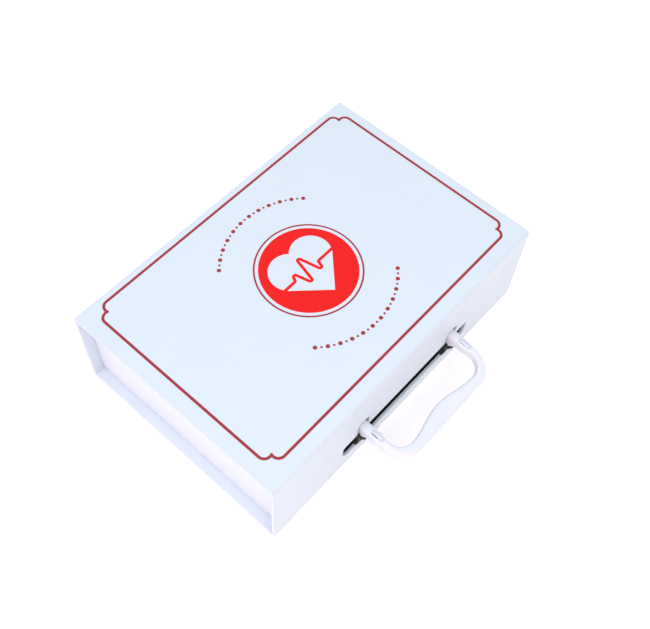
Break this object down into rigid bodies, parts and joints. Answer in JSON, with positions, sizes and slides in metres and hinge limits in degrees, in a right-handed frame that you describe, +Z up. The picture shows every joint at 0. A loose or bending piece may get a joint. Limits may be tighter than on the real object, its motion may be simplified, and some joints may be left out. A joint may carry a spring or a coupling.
{
  "type": "toy doctor case",
  "caption": "Flat paper-covered toy case with a hinged lid, a magnetic front flap, a slot through the flap and a moulded swinging carry handle.",
  "frame": {"origin": "middle of the underside of the base, on the table", "axes": "+X along the case, to the right seen from the handle's side; -Y towards the handle and the flap; +Z up"},
  "size_m": [0.294, 0.243, 0.089],
  "materials": {
    "covering_paper": "white art paper with a smooth film lamination, semi-gloss",
    "white_lining_paper": "plain white uncoated paper, matt",
    "black_lining_paper": "solid-dyed black paper, matt",
    "greyboard": "pressed recycled wood-fibre board, matt",
    "kraft_tape": "gummed kraft paper tape, matt",
    "magnet_nickel": "bright nickel plate",
    "bracket_plastic": "black moulded plastic with a fine matt grain",
    "pin_steel": "bright drawn wire",
    "handle_plastic": "bluish white moulded plastic, semi-gloss"
  },
  "bodies": {
    "case": {"base_board": "greyboard", "base_wrap": "covering_paper", "base_liner": "white_lining_paper", "spine_board": "greyboard", "spine_wrap": "covering_paper", "spine_liner": "white_lining_paper", "tray_floor_board": "greyboard", "tray_front_board": "greyboard", "tray_rear_board": "greyboard", "tray_left_board": "greyboard", "tray_right_board": "greyboard", "tray_corner_tapes": "kraft_tape", "tray_wrap": "covering_paper", "tray_liner": "black_lining_paper", "tray_floor_liner": "black_lining_paper", "tray_magnet_left": "magnet_nickel", "tray_magnet_right": "magnet_nickel"},
    "lid": {"lid_board": "greyboard", "lid_wrap": "covering_paper", "lid_liner": "white_lining_paper"},
    "flap": {"flap_board": "greyboard", "flap_wrap": "covering_paper", "flap_liner": "white_lining_paper", "flap_magnet_left": "magnet_nickel", "flap_magnet_right": "magnet_nickel", "handle_bracket_left": "bracket_plastic", "handle_bracket_right": "bracket_plastic", "handle_pin_left": "pin_steel", "handle_pin_right": "pin_steel"},
    "handle": {"handle_bow": "handle_plastic"}
  },
  "joints": [
    {"name": "lid_open", "type": "hinge", "parent": "case", "child": "lid", "pos_m": [0, 0.09924, 0.08824], "axis": [-1, 0, 0], "range_deg": [0, 165]},
    {"name": "flap_open", "type": "hinge", "parent": "lid", "child": "flap", "pos_m": [0, -0.09924, 0.08824], "axis": [-1, 0, 0], "range_deg": [0, 120]},
    {"name": "handle_swing", "type": "hinge", "parent": "flap", "child": "handle", "pos_m": [0.0042, -0.099, 0.0294], "axis": [-1, 0, 0], "range_deg": [0, 42]}
  ]
}
